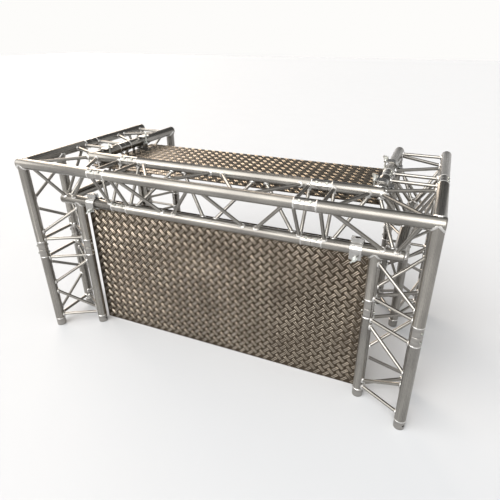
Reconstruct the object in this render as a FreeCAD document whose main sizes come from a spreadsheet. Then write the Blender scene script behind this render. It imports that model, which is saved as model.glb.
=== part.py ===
"""Stage booth of triangular aluminium truss with a tread-plate front panel and counter.

Frame of the part: +X to the right and +Z up, seen from the audience, +Y to the back, millimetres.
The origin is the middle of the footprint, on the floor.
"""
import FreeCAD, Part
import os
import re
import Sketcher

# Driving sizes in millimetres
SIZES = {
    # truss
    "booth_width": 2000,
    "booth_depth": 1000,
    "booth_height": 1000,
    "beam_length": 1000,
    "wing_arm": 500,
    "leg_length": 500,
    "chord_spacing": 240,
    "chord_diameter": 50,
    "chord_wall": 2,
    "brace_diameter": 16,
    "weld_gap": 0.3,
    "joint_brace": 55,
    "foot_brace": 65,
    "brace_step": 20,
    "node_gap": 15,
    # caps on the open chord ends
    "cap_length": 8,
    "cap_round": 6,
    "cap_plug": 12,
    "plug_fit": 0.1,
    # conical couplers inside the joints
    "coupler_length": 84,
    "coupler_tip": 34,
    "coupler_fit": 0.2,
    # tread plates
    "plate_thickness": 4,
    "panel_inset": 97,
    "panel_foot": 6,
    "panel_rise": 12,
    "counter_overhang": 12,
    "counter_start": 253,
    "counter_end": 779,
    # half couplers that carry the plates
    "clamp_width": 50,
    "clamp_wall": 5,
    "clamp_fit": 0.3,
    "clamp_reach": 44,
    "clamp_split": 1,
    "foot_width": 44,
    "foot_floor": 8,
    "foot_height": 24,
    "hinge_offset": 43,
    "pin_drop": 12,
    "pin_diameter": 6,
    "hinge_pin_length": 54,
    "pivot_pin_length": 52,
    "lug_diameter": 13,
    "knuckle_width": 20,
    "arm_thickness": 6,
    "side_gap": 0.3,
    "pivot_offset": 33,
    "tongue_tip": 5,
    "fork_slot": 9,
    "eye_diameter": 14,
    "eye_width": 12,
    "swing_length": 63,
    "thread_diameter": 8,
    "running_fit": 0.05,
    "seat_gap": 0.3,
    "washer_diameter": 20,
    "washer_thickness": 2,
    "hub_diameter": 16,
    "hub_height": 10,
    "wing_reach": 13,
    "wing_diameter": 14,
    "wing_rise": 11,
    "wing_thickness": 4,
    "hex_width": 13,
    "head_height": 5.3,
    "head_pocket": 17,
    "hex_height": 6.5,
    "bolt_hole": 8.6,
    "bolt_end": 3,
    "panel_clamp_left": 80,
    "panel_clamp_right": 68,
    "counter_clamp_front": 352,
    "counter_clamp_rear": 672,
    "overrun": 10,
}

doc = FreeCAD.newDocument("truss_booth")
sheet = doc.addObject("Spreadsheet::Sheet", "Sizes")
for row, (alias, value) in enumerate(SIZES.items(), start=1):
    sheet.set("A%d" % row, alias)
    sheet.set("B%d" % row, str(value))
    sheet.setAlias("B%d" % row, alias)
doc.recompute()

# Places of the chords, as sums of the sizes; widths are for the right half
RADIUS = "chord_diameter / 2"
TRIANGLE = "chord_spacing * sqrt(3) / 2"
FACE = "(-1 * booth_depth / 2)"
TOP = "(booth_height - %s)" % RADIUS
LOW = "(%s - %s)" % (TOP, TRIANGLE)
OUTER = "(booth_width / 2 - %s)" % RADIUS
MIDDLE = "(%s - chord_spacing / 2)" % OUTER
INNER = "(%s - chord_spacing)" % OUTER
KNEE = "(%s - %s)" % (OUTER, TRIANGLE)
FRONT = "(%s + %s)" % (FACE, RADIUS)
BEHIND = "(%s + chord_spacing / 2)" % FRONT
INSIDE = "(%s + chord_spacing)" % FRONT
REAR = "(booth_depth / 2 - %s)" % RADIUS
REAR_KNEE = "(%s - %s)" % (REAR, TRIANGLE)
BEAM_JOINT = "(beam_length / 2)"
WING_JOINT = "(%s + wing_arm)" % FACE
LEG_JOINT = "leg_length"
BORE = "(chord_diameter - 2 * chord_wall)"

# Right edges of the plates, and the panel's clamps, which are set in from its edges
PANEL_EDGE = "(%s - panel_inset)" % MIDDLE
PANEL_LEFT = "(%s - panel_clamp_left)" % PANEL_EDGE
PANEL_RIGHT = "(%s - panel_clamp_right)" % PANEL_EDGE
COUNTER_EDGE = "(%s + counter_overhang)" % INNER

# Each chord's line: x, y and z, with RUN for the way that it runs
RUN = "along"
LINES = {
    "beam_front": (RUN, FRONT, TOP),
    "beam_low": (RUN, BEHIND, LOW),
    "beam_back": (RUN, INSIDE, TOP),
    "leg_outer": (OUTER, FRONT, RUN),
    "leg_inner": (KNEE, BEHIND, RUN),
    "leg_back": (OUTER, INSIDE, RUN),
    "wing_outer": (OUTER, RUN, TOP),
    "wing_low": (MIDDLE, RUN, LOW),
    "wing_inner": (INNER, RUN, TOP),
    "rear_outer": (OUTER, REAR, RUN),
    "rear_inner": (INNER, REAR, RUN),
    "rear_low": (MIDDLE, REAR_KNEE, RUN),
}
BEAM_LINES = ("beam_front", "beam_low", "beam_back")
WING_LINES = ("wing_outer", "wing_low", "wing_inner")
LEG_LINES = ("leg_outer", "leg_inner", "leg_back")
REAR_LINES = ("rear_outer", "rear_low", "rear_inner")
SIDES = (("left", -1), ("right", 1))
nodes = []


def sized(text):
    """Points every size's name in a sum at its cell in the sheet."""
    return re.sub(r"[a-z_]+", lambda word: "Sizes." + word.group() if word.group() in SIZES else word.group(), text)


def bind(thing, **sums):
    """Binds properties of an object to sums of sizes."""
    for name, text in sums.items():
        thing.setExpression(name, sized(text))
    return thing


def place(thing, spot, turn=("0", "0", "0")):
    """Binds an object's placement: three sums for its origin and yaw, pitch and roll in degrees."""
    origin = "create(<<vector>>; %s; %s; %s)" % tuple(spot)
    rotation = "create(<<rotation>>; %s; %s; %s)" % tuple(turn)
    return bind(thing, Placement="create(<<placement>>; %s; %s)" % (origin, rotation))


def rod(name, diameter, start, end):
    """A round bar from one point to another."""
    dx, dy, dz = ("((%s) - (%s))" % (far, near) for near, far in zip(start, end))
    length = "sqrt(%s ^ 2 + %s ^ 2 + %s ^ 2)" % (dx, dy, dz)
    bar = doc.addObject("Part::Cylinder", name)
    bind(bar, Radius="(%s) / 2" % diameter, Height=length)
    return place(bar, start, ("atan2(%s; %s)" % (dy, dx), "acos(%s / %s)" % (dz, length), "0"))


def block(name, low, high):
    """A box between two corners."""
    box = doc.addObject("Part::Box", name)
    sides = ["(%s) - (%s)" % (far, near) for near, far in zip(low, high)]
    bind(box, Length=sides[0], Width=sides[1], Height=sides[2])
    return place(box, low)


def cut(name, base, tools):
    """A shape less one or more others."""
    for number, tool in enumerate(tools):
        less = doc.addObject("Part::Cut", "%s_cut_%d" % (name, number))
        less.Base = base
        less.Tool = tool
        base = less
    return base


def fuse(name, pieces):
    """Several shapes as one solid."""
    whole = doc.addObject("Part::MultiFuse", name)
    whole.Shapes = pieces
    whole.Refine = True
    return whole


def common(name, base, tool):
    """What two shapes share."""
    shared = doc.addObject("Part::Common", name)
    shared.Base = base
    shared.Tool = tool
    return shared


def group(name, pieces):
    """Separate solids kept together under one name."""
    whole = doc.addObject("Part::Compound", name)
    whole.Links = pieces
    return whole


def node(thing, label):
    """Marks an object as a sub-part with its own file."""
    thing.Label = label
    nodes.append(thing)
    return thing


def on_line(line, along, side):
    """The point of a chord's line at a run, mirrored to the left half when side is -1."""
    x, y, z = (along if part == RUN else part for part in LINES[line])
    return ("(%d * (%s))" % (side, x), y, z)


# Chords and braces
def chord(name, line, side, start, end, trims):
    """A tube along its line, coped by the tubes that it is welded to."""
    points = on_line(line, start, side), on_line(line, end, side)
    tube = cut(name, rod(name + "_outside", "chord_diameter", *points), [rod(name + "_bore", BORE, *points)])
    return cut(name + "_coped", tube, trims)


def coping(name, line, side, start, end):
    """The space that a chord takes from what is welded to it."""
    points = on_line(line, start, side), on_line(line, end, side)
    return rod(name + "_coping", "chord_diameter + 2 * weld_gap", *points)


def brace(name, side, ends, copings):
    """A round bar between two chords, coped to them."""
    first, second = (on_line(line, along, side) for line, along in ends)
    return cut(name, rod(name + "_bar", "brace_diameter", first, second), copings)


def upright(first, second, along):
    """A brace square to both chords."""
    return ((first, along), (second, along))


def zigzag(first, second, start, end, bays):
    """Braces that run back and forth between two chords, with a gap at each inner node."""
    runs = []
    for bay in range(bays):
        low, high = ("(%s + (%s - %s) * %d / %d)" % (start, end, start, step, bays) for step in (bay, bay + 1))
        lower = low if bay == 0 else "(%s + node_gap)" % low
        upper = high if bay == bays - 1 else "(%s - node_gap)" % high
        here, there = (first, second) if bay % 2 == 0 else (second, first)
        runs.append(((here, lower), (there, upper)))
    return runs


def meeting(line, copes):
    """The chords that meet a chord: those that cope it and those that it copes."""
    return list(copes.get(line, ())) + [other for other, trims in copes.items() if line in trims]


def weldment(name, side, runs, copes, braces):
    """One welded module: its chords and its braces.

    runs gives each chord's start, end and length of cap past its end, copes the chords that cope a chord.
    """
    spaces = {line: coping(name + "_" + line, line, side, start, "%s + %s" % (end, cap))
              for line, (start, end, cap) in runs.items()}
    tubes = []
    for line, (start, end, cap) in runs.items():
        trims = [spaces[other] for other in copes.get(line, ())]
        tubes.append(chord(name + "_" + line, line, side, start, end, trims))
    bars = []
    for number, ends in enumerate(braces):
        first, second = (line for line, along in ends)
        near = [first, second] + meeting(first, copes) + meeting(second, copes)
        trims = [spaces[line] for line in dict.fromkeys(near)]
        bars.append(brace("%s_brace_%d" % (name, number), side, ends, trims))
    node(group(name + "_chords", tubes), name + "_chords")
    node(group(name + "_braces", bars), name + "_braces")


def front_beam():
    """The straight length of truss in the middle of the front."""
    first = "(-1 * %s + joint_brace)" % BEAM_JOINT
    last = "(%s - joint_brace)" % BEAM_JOINT
    start = "(%s + brace_step)" % first
    end = "(%s - brace_step)" % last
    faces = (("beam_front", "beam_low"), ("beam_back", "beam_front"), ("beam_low", "beam_back"))
    braces = []
    for one, two in faces:
        braces += [upright(one, two, first), upright(one, two, last)]
        braces += zigzag(one, two, start, end, 4)
    runs = {line: ("(-1 * %s)" % BEAM_JOINT, BEAM_JOINT, "0") for line in BEAM_LINES}
    weldment("front_beam", 1, runs, {}, braces)


def front_corner(name, side):
    """Three-way corner: an arm of the beam, the top of a front leg and the start of a wing."""
    cap = "cap_length"
    runs = {
        "beam_front": (BEAM_JOINT, "(%s + %s - cap_length)" % (OUTER, RADIUS), cap),
        "beam_low": (BEAM_JOINT, "(%s + %s - cap_length)" % (MIDDLE, RADIUS), cap),
        "beam_back": (BEAM_JOINT, "(%s + %s - cap_length)" % (INNER, RADIUS), cap),
        "leg_outer": (LEG_JOINT, TOP, "0"),
        "leg_inner": (LEG_JOINT, LOW, "0"),
        "leg_back": (LEG_JOINT, TOP, "0"),
        "wing_outer": (FRONT, WING_JOINT, "0"),
        "wing_low": (BEHIND, WING_JOINT, "0"),
        "wing_inner": (INSIDE, WING_JOINT, "0"),
    }
    copes = {
        "leg_outer": ("beam_front",),
        "leg_inner": ("beam_low",),
        "leg_back": ("wing_outer",),
        "wing_outer": ("beam_front", "leg_outer"),
        "wing_low": ("beam_low",),
        "wing_inner": ("beam_back",),
    }
    beam = "(%s + joint_brace)" % BEAM_JOINT
    leg = "(%s + joint_brace)" % LEG_JOINT
    wing = "(%s - joint_brace)" % WING_JOINT
    crown = "(%s - 2 * node_gap)" % LOW
    braces = [upright(one, two, beam) for one, two in zip(BEAM_LINES, BEAM_LINES[1:] + BEAM_LINES[:1])]
    braces += [upright(one, two, leg) for one, two in zip(LEG_LINES, LEG_LINES[1:] + LEG_LINES[:1])]
    braces += [upright(one, two, wing) for one, two in zip(WING_LINES, WING_LINES[1:] + WING_LINES[:1])]
    braces += [
        (("beam_front", "%s + brace_step" % beam), ("beam_low", "%s - 2 * brace_step" % MIDDLE)),
        (("beam_front", "%s - 2 * brace_step" % OUTER), ("beam_low", "%s - node_gap" % MIDDLE)),
        (("beam_low", "%s + brace_step" % beam), ("beam_back", "%s - %s" % (INNER, RADIUS))),
        (("beam_back", INNER), ("beam_low", "%s - node_gap" % MIDDLE)),
        (("beam_front", "%s + 2 * brace_step" % beam), ("beam_back", "%s - %s" % (INNER, RADIUS))),
        (("beam_back", INNER), ("beam_front", OUTER)),
        (("leg_outer", "%s + 2 * node_gap" % leg), ("leg_inner", crown)),
        (("leg_inner", "%s + 2 * node_gap" % leg), ("leg_back", crown)),
        (("wing_inner", "%s + %s" % (INSIDE, RADIUS)), ("wing_outer", "%s - joint_brace" % wing)),
        (("wing_low", BEHIND), ("wing_outer", wing)),
        (("wing_inner", "%s + %s" % (INSIDE, RADIUS)), ("wing_low", "%s - brace_step" % wing)),
    ]
    braces += zigzag("leg_back", "leg_outer", "(%s + 3 * node_gap)" % leg, "(%s - 4 * node_gap)" % TOP, 2)
    weldment(name, side, runs, copes, braces)


def rear_corner(name, side):
    """Two-way corner: the end of a wing and the top of a rear leg."""
    tail = "(booth_depth / 2 - cap_length)"
    runs = {
        "wing_outer": (WING_JOINT, tail, "cap_length"),
        "wing_low": (WING_JOINT, "(%s + %s - cap_length)" % (REAR_KNEE, RADIUS), "cap_length"),
        "wing_inner": (WING_JOINT, tail, "cap_length"),
        "rear_outer": (LEG_JOINT, TOP, "0"),
        "rear_low": (LEG_JOINT, LOW, "0"),
        "rear_inner": (LEG_JOINT, TOP, "0"),
    }
    copes = {"rear_outer": ("wing_outer",), "rear_low": ("wing_low",), "rear_inner": ("wing_inner",)}
    wing = "(%s + joint_brace)" % WING_JOINT
    leg = "(%s + joint_brace)" % LEG_JOINT
    crown = "(%s - 2 * node_gap)" % LOW
    braces = [upright(one, two, wing) for one, two in zip(WING_LINES, WING_LINES[1:] + WING_LINES[:1])]
    braces += [upright(one, two, leg) for one, two in zip(REAR_LINES, REAR_LINES[1:] + REAR_LINES[:1])]
    braces += zigzag("wing_inner", "wing_outer", "(%s + 3 * node_gap)" % wing, "(%s - 4 * node_gap)" % REAR, 2)
    braces += [
        upright("wing_outer", "wing_inner", "(%s - 2 * node_gap)" % REAR),
        (("wing_outer", "%s + joint_brace + 2 * node_gap" % wing), ("wing_low", "%s - node_gap" % REAR_KNEE)),
        (("wing_inner", "%s + 2 * node_gap" % wing), ("wing_low", "%s - node_gap" % REAR_KNEE)),
        (("wing_outer", "%s - 8 * node_gap" % REAR), ("wing_low", REAR_KNEE)),
        (("wing_inner", "%s - 5 * node_gap" % REAR), ("wing_low", REAR_KNEE)),
        (("rear_outer", "%s + 3 * node_gap" % leg), ("rear_inner", "%s - 5 * node_gap" % TOP)),
        (("rear_outer", "%s + 2 * node_gap" % leg), ("rear_low", crown)),
        (("rear_inner", "%s + 2 * node_gap" % leg), ("rear_low", crown)),
    ]
    weldment(name, side, runs, copes, braces)


def lower_leg(name, side, lines):
    """The straight length of truss that stands on the floor."""
    first = "foot_brace"
    last = "(%s - joint_brace)" % LEG_JOINT
    start = "(%s + brace_step)" % first
    end = "(%s - brace_step)" % last
    outer, inner, back = lines
    braces = []
    for one, two in ((inner, outer), (outer, back), (back, inner)):
        braces += [upright(one, two, first), upright(one, two, last)]
        braces += zigzag(one, two, start, end, 2)
    weldment(name, side, {line: ("0", LEG_JOINT, "0") for line in lines}, {}, braces)


def sketch_on(body, plane, name):
    """A sketch on one of a body's own origin planes."""
    drawing = body.newObject("Sketcher::SketchObject", name)
    support = [part for part in body.Origin.OriginFeatures if part.Role == plane][0]
    drawing.AttachmentSupport = [(support, "")]
    drawing.MapMode = "FlatFace"
    return drawing


def closed_outline(drawing, points):
    """A closed polygon whose corners are bound to sums of sizes."""
    corners = [FreeCAD.Vector(*[sheet.evalExpression(sized(value)) for value in point], 0) for point in points]
    first = drawing.GeometryCount
    count = len(points)
    for corner, following in zip(corners, corners[1:] + corners[:1]):
        drawing.addGeometry(Part.LineSegment(corner, following))
    for number, point in enumerate(points):
        edge = first + number
        drawing.addConstraint(Sketcher.Constraint("Coincident", edge, 2, first + (number + 1) % count, 1))
        for way, value, size in zip(("DistanceX", "DistanceY"), point, corners[number]):
            index = drawing.addConstraint(Sketcher.Constraint(way, -1, 1, edge, 1, size))
            drawing.setExpression("Constraints[%d]" % index, sized(value))


def circle(drawing, centre, diameter):
    """A circle whose centre and diameter are bound to sums of sizes."""
    middle = FreeCAD.Vector(*[sheet.evalExpression(sized(value)) for value in centre], 0)
    width = sheet.evalExpression(sized(diameter))
    edge = drawing.addGeometry(Part.Circle(middle, FreeCAD.Vector(0, 0, 1), width / 2))
    index = drawing.addConstraint(Sketcher.Constraint("Diameter", edge, width))
    drawing.setExpression("Constraints[%d]" % index, sized(diameter))
    for way, value, size in zip(("DistanceX", "DistanceY"), centre, middle):
        index = drawing.addConstraint(Sketcher.Constraint(way, -1, 1, edge, 3, size))
        drawing.setExpression("Constraints[%d]" % index, sized(value))


# Caps and couplers
def tube_caps():
    """Rounded plugs that close the chords' open ends."""
    body = doc.addObject("PartDesign::Body", "tube_cap")
    disc = sketch_on(body, "XY_Plane", "cap_disc")
    circle(disc, ("0", "0"), "chord_diameter")
    dome = body.newObject("PartDesign::Pad", "cap_dome")
    dome.Profile = disc
    bind(dome, Length="cap_length")
    doc.recompute()
    rims = [number for number, edge in enumerate(dome.Shape.Edges, start=1)
            if edge.Closed and edge.BoundBox.ZMin > dome.Shape.CenterOfMass.z]
    rounded = body.newObject("PartDesign::Fillet", "cap_rim")
    rounded.Base = (dome, ["Edge%d" % number for number in rims])
    bind(rounded, Radius="cap_round")
    doc.recompute()
    core = sketch_on(body, "XY_Plane", "cap_core")
    circle(core, ("0", "0"), "%s - 2 * plug_fit" % BORE)
    plug = body.newObject("PartDesign::Pad", "cap_plug")
    plug.Profile = core
    plug.Reversed = True
    bind(plug, Length="cap_plug")
    tail = "(booth_depth / 2 - cap_length)"
    ends = {
        "beam_front": "%s + %s - cap_length" % (OUTER, RADIUS),
        "beam_low": "%s + %s - cap_length" % (MIDDLE, RADIUS),
        "beam_back": "%s + %s - cap_length" % (INNER, RADIUS),
        "wing_outer": tail,
        "wing_inner": tail,
        "wing_low": "(%s + %s - cap_length)" % (REAR_KNEE, RADIUS),
    }
    caps = []
    for word, side in SIDES:
        for line, along in ends.items():
            turn = ("0", "%d" % (90 * side), "0") if line in BEAM_LINES else ("0", "0", "-90")
            cap = group("cap_%s_%s" % (line, word), [body])
            caps.append(place(cap, on_line(line, along, side), turn))
    node(group("tube_caps", caps), "tube_caps")


def conical_couplers():
    """Double cones inside every joint between two modules."""
    body = doc.addObject("PartDesign::Body", "conical_coupler")
    profile = sketch_on(body, "XZ_Plane", "coupler_profile")
    waist = "(%s / 2 - coupler_fit)" % BORE
    half = "coupler_length / 2"
    closed_outline(profile, [("0", "-1 * " + half), ("coupler_tip / 2", "-1 * " + half), (waist, "0"),
                             ("coupler_tip / 2", half), ("0", half)])
    turned = body.newObject("PartDesign::Revolution", "coupler_turned")
    turned.Profile = profile
    turned.ReferenceAxis = (profile, ["V_Axis"])
    turned.Angle = 360
    joints = [(line, BEAM_JOINT, ("0", "90", "0")) for line in BEAM_LINES]
    joints += [(line, WING_JOINT, ("0", "0", "90")) for line in WING_LINES]
    joints += [(line, LEG_JOINT, ("0", "0", "0")) for line in LEG_LINES + REAR_LINES]
    cones = []
    for word, side in SIDES:
        for line, along, turn in joints:
            cone = group("coupler_%s_%s" % (line, word), [body])
            cones.append(place(cone, on_line(line, along, side), turn))
    node(group("conical_couplers", cones), "conical_couplers")


# Tread plates
def plate(label, corners, holes, spot, turn):
    """A flat plate with its bolt holes, drawn in its own plane and padded towards the front or up."""
    body = doc.addObject("PartDesign::Body", label)
    outline = sketch_on(body, "XY_Plane", label + "_outline")
    (left, low), (right, high) = corners
    closed_outline(outline, [(left, low), (right, low), (right, high), (left, high)])
    for hole in holes:
        circle(outline, hole, "bolt_hole")
    pad = body.newObject("PartDesign::Pad", label + "_pad")
    pad.Profile = outline
    bind(pad, Length="plate_thickness")
    place(body, spot, turn)
    node(body, label)


def front_panel():
    """The upright plate behind the front truss."""
    corners = (("-1 * " + PANEL_EDGE, "panel_foot"), (PANEL_EDGE, "%s + panel_rise" % LOW))
    holes = (("-1 * " + PANEL_LEFT, LOW), (PANEL_RIGHT, LOW))
    back = "%s + clamp_reach + plate_thickness" % BEHIND
    plate("front_panel", corners, holes, ("0", back, "0"), ("0", "0", "90"))


def counter_top():
    """The level plate that hangs under the wings' inner chords."""
    corners = (("-1 * " + COUNTER_EDGE, "%s + counter_start" % FACE), (COUNTER_EDGE, "%s + counter_end" % FACE))
    holes = [("%d * %s" % (side, INNER), "%s + %s" % (FACE, run)) for word, side in SIDES
             for run in ("counter_clamp_front", "counter_clamp_rear")]
    plate("counter_top", corners, holes, ("0", "0", "%s - clamp_reach - plate_thickness" % TOP), ("0", "0", "0"))


# Half couplers: x to the hinge, y away from the plate, z along the tube, origin on the tube's axis
INSIDE_RADIUS = "(%s + clamp_fit)" % RADIUS
STRAP_RADIUS = "(%s + clamp_wall)" % INSIDE_RADIUS
HALF = "clamp_width / 2"
HINGE = ("hinge_offset", "-1 * pin_drop")
PIVOT = ("-1 * pivot_offset", "-1 * pin_drop")
SEAT = "(pin_drop + %s + seat_gap)" % STRAP_RADIUS


def crosswise(name, centre, diameter, width):
    """A round bar along the tube's direction, as wide as asked, about the clamp's middle."""
    start = (centre[0], centre[1], "-1 * (%s) / 2" % width)
    return rod(name, diameter, start, (centre[0], centre[1], "(%s) / 2" % width))


def slab(name, across, away, width):
    """A box of the clamp, between two places across and away, centred along the tube."""
    return block(name, (across[0], away[0], "-1 * (%s) / 2" % width), (across[1], away[1], "(%s) / 2" % width))


def bolt_bar(name, diameter, offset, start, end):
    """A round bar that points away from the plate, at an offset towards the hinge."""
    return rod(name, diameter, (offset, start, "0"), (offset, end, "0"))


def clamp_base():
    """Saddle under the tube, with its foot, hinge ears and the fork of the swing bolt."""
    wide = "clamp_width + overrun"
    ring = crosswise("base_ring", ("0", "0"), "2 * " + STRAP_RADIUS, "clamp_width")
    upper = slab("base_upper", ("-1 * %s - overrun" % STRAP_RADIUS, "%s + overrun" % STRAP_RADIUS),
                 ("-1 * clamp_split", "%s + overrun" % STRAP_RADIUS), wide)
    saddle = cut("base_saddle", ring, [upper])
    foot = slab("base_foot", ("-1 * foot_width / 2", "foot_width / 2"),
                ("-1 * clamp_reach", "foot_height - clamp_reach"), "clamp_width")
    lug = ("-1 * pin_drop - lug_diameter / 2", "lug_diameter / 2 - pin_drop")
    ears = [slab("hinge_ear", (RADIUS, "hinge_offset"), lug, "clamp_width"),
            crosswise("hinge_boss", HINGE, "lug_diameter", "clamp_width"),
            slab("fork_ear", ("-1 * pivot_offset", "-1 * %s" % RADIUS), lug, "clamp_width"),
            crosswise("fork_boss", PIVOT, "lug_diameter", "clamp_width")]
    floor = "foot_floor - clamp_reach"
    clear = "(%s + overrun)" % STRAP_RADIUS
    tools = [
        crosswise("base_bore", ("0", "0"), "2 * " + INSIDE_RADIUS, wide),
        slab("knuckle_slot", ("hinge_offset - lug_diameter / 2 - side_gap", "hinge_offset + lug_diameter"),
             ("-1 * " + clear, clear), "knuckle_width + 2 * side_gap"),
        slab("eye_slot", ("-1 * pivot_offset - eye_diameter", "eye_diameter / 2 + side_gap - pivot_offset"),
             ("-1 * " + clear, clear), "eye_width + 2 * side_gap"),
        crosswise("hinge_hole", HINGE, "pin_diameter + 2 * running_fit", wide),
        crosswise("pivot_hole", PIVOT, "pin_diameter + 2 * running_fit", wide),
        bolt_bar("head_space", "head_pocket", "0", floor, "0"),
        bolt_bar("base_hole", "bolt_hole", "0", "-1 * clamp_reach - overrun", "0"),
    ]
    return cut("clamp_base", fuse("base_blank", [saddle, foot] + ears), tools)


def clamp_strap():
    """Strap over the tube: hinge knuckle, arm, quarter ring and forked tongue for the swing bolt."""
    wide = "clamp_width + overrun"
    disc = crosswise("strap_disc", ("0", "0"), "2 * " + STRAP_RADIUS, "clamp_width")
    quarter = slab("strap_quarter", ("0", STRAP_RADIUS), ("clamp_split / 2", STRAP_RADIUS), "clamp_width")
    tongue = slab("tongue", ("-1 * pivot_offset", "0"), (INSIDE_RADIUS, STRAP_RADIUS), "clamp_width")
    tip = slab("tongue_end", ("-1 * pivot_offset - tongue_tip", "-1 * pivot_offset"),
               (INSIDE_RADIUS, "%s + overrun" % STRAP_RADIUS), "clamp_width")
    swing = crosswise("swing_space", PIVOT, "2 * (pin_drop + %s)" % STRAP_RADIUS, wide)
    arm = slab("strap_arm", (RADIUS, "hinge_offset + lug_diameter / 2"),
               ("clamp_split / 2", "clamp_split / 2 + arm_thickness"), "clamp_width")
    stem = slab("knuckle_stem", ("hinge_offset - lug_diameter / 2", "hinge_offset + lug_diameter / 2"),
                ("-1 * pin_drop", "clamp_split / 2 + arm_thickness"), "knuckle_width")
    knuckle = crosswise("knuckle", HINGE, "lug_diameter", "knuckle_width")
    blank = fuse("strap_blank", [common("strap_ring", disc, quarter), tongue, common("strap_tip", tip, swing),
                                 arm, stem, knuckle])
    slot = slab("tongue_slot", ("-1 * pivot_offset - tongue_tip - overrun", "fork_slot / 2 - pivot_offset"),
                ("0", "%s + overrun" % STRAP_RADIUS), "fork_slot")
    bore = crosswise("strap_bore", ("0", "0"), "2 * " + INSIDE_RADIUS, wide)
    hole = crosswise("knuckle_hole", HINGE, "pin_diameter + 2 * running_fit", wide)
    return cut("clamp_strap", blank, [bore, slot, hole])


def swing_bolt():
    """Eye bolt that swings about the pivot pin; its thread is the plain outside diameter."""
    eye = crosswise("eye", PIVOT, "eye_diameter", "eye_width")
    shank = bolt_bar("shank", "thread_diameter", PIVOT[0], PIVOT[1], "swing_length - pin_drop")
    hole = crosswise("eye_hole", PIVOT, "pin_diameter + 2 * running_fit", "clamp_width")
    return cut("swing_bolt", fuse("eye_and_shank", [eye, shank]), [hole])


def clamp_washer():
    """Flat washer between the tongue and the wing nut."""
    low = "%s - pin_drop" % SEAT
    disc = bolt_bar("washer_disc", "washer_diameter", PIVOT[0], low, "%s + washer_thickness" % low)
    hole = bolt_bar("washer_hole", "thread_diameter + 2 * running_fit", PIVOT[0], "0", "%s + overrun" % low)
    return cut("clamp_washer", disc, [hole])


def wing_nut():
    """Hub with two round wings, set at 45 degrees to the tube."""
    low = "(%s + washer_thickness - pin_drop)" % SEAT
    hub = bolt_bar("hub", "hub_diameter", PIVOT[0], low, "%s + hub_height" % low)
    wings = []
    for side in (-1, 1):
        shift = "%d * wing_reach / sqrt(2)" % side
        wing = doc.addObject("Part::Cylinder", "wing")
        bind(wing, Radius="wing_diameter / 2", Height="wing_thickness")
        half = "wing_thickness / 2 / sqrt(2)"
        spot = ("%s + %s - %s" % (PIVOT[0], shift, half), "%s + wing_rise" % low, "%s + %s" % (shift, half))
        wings.append(place(wing, spot, ("0", "135", "0")))
    hole = bolt_bar("nut_hole", "thread_diameter + 2 * running_fit", PIVOT[0], "0",
                    "%s + hub_height + wing_rise + wing_diameter" % low)
    return cut("wing_nut", fuse("hub_and_wings", [hub] + wings), [hole])


def hexagon(name, start, height):
    """A six-sided bar on the foot's bolt line."""
    bar = doc.addObject("Part::Prism", name)
    bar.Polygon = 6
    bind(bar, Circumradius="hex_width / sqrt(3)", Height=height)
    return place(bar, ("0", start, "0"), ("0", "0", "-90"))


def plate_bolt():
    """Bolt whose head sits in the saddle and whose shank goes through the plate."""
    floor = "(foot_floor - clamp_reach)"
    head = hexagon("bolt_head", floor, "head_height")
    end = "-1 * clamp_reach - plate_thickness - hex_height - bolt_end"
    shank = bolt_bar("bolt_shank", "thread_diameter", "0", end, floor)
    return fuse("plate_bolt", [head, shank])


def plate_nut():
    """Nut on the far side of the plate."""
    low = "-1 * clamp_reach - plate_thickness - hex_height"
    hole = bolt_bar("plate_nut_hole", "thread_diameter + 2 * running_fit", "0", "%s - overrun" % low, "0")
    return cut("plate_nut", hexagon("nut_blank", low, "hex_height"), [hole])


def clamps():
    """Six half couplers: two on the beam for the panel, four on the wings for the counter."""
    upright_turn = ("0", "-90", "180")
    sites = {
        "panel_left": (on_line("beam_low", PANEL_LEFT, -1), upright_turn),
        "panel_right": (on_line("beam_low", PANEL_RIGHT, 1), upright_turn),
    }
    for word, side in SIDES:
        turn = ("%d" % (90 - 90 * side), "0", "90")
        for end in ("front", "rear"):
            spot = on_line("wing_inner", "%s + counter_clamp_%s" % (FACE, end), side)
            sites["counter_%s_%s" % (word, end)] = (spot, turn)
    fixed = {
        "clamp_bases": clamp_base(),
        "clamp_straps": clamp_strap(),
        "clamp_hinge_pins": crosswise("hinge_pin", HINGE, "pin_diameter", "hinge_pin_length"),
        "clamp_pivot_pins": crosswise("pivot_pin", PIVOT, "pin_diameter", "pivot_pin_length"),
        "plate_bolts": plate_bolt(),
        "plate_nuts": plate_nut(),
    }
    for label, piece in fixed.items():
        copies = [place(group("%s_%s" % (label, site), [piece]), *where) for site, where in sites.items()]
        node(group(label, copies), label)
    for kind, piece in (("swing_bolt", swing_bolt()), ("clamp_washer", clamp_washer()), ("wing_nut", wing_nut())):
        for site, where in sites.items():
            label = "%s_%s" % (kind, site)
            node(place(group(label, [piece]), *where), label)


def main():
    front_beam()
    for word, side in SIDES:
        front_corner("front_corner_" + word, side)
        rear_corner("rear_corner_" + word, side)
        lower_leg("front_leg_" + word, side, LEG_LINES)
        lower_leg("rear_leg_" + word, side, REAR_LINES)
    tube_caps()
    conical_couplers()
    front_panel()
    counter_top()
    clamps()
    doc.recompute()
    for thing in doc.Objects:
        if "Invalid" in thing.State or "Error" in thing.State:
            raise RuntimeError("%s did not recompute" % thing.Name)
    os.makedirs("parts", exist_ok=True)
    for thing in nodes:
        shape = thing.Shape
        if shape.isNull() or not shape.isValid() or not shape.Solids:
            raise RuntimeError("%s has no valid shape" % thing.Label)
    for thing in nodes:
        thing.Shape.exportStep("parts/%s.step" % thing.Label)
        print(thing.Label, len(thing.Shape.Solids), "solids, volume", round(thing.Shape.Volume))


main()
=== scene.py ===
import collections
import math

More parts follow.
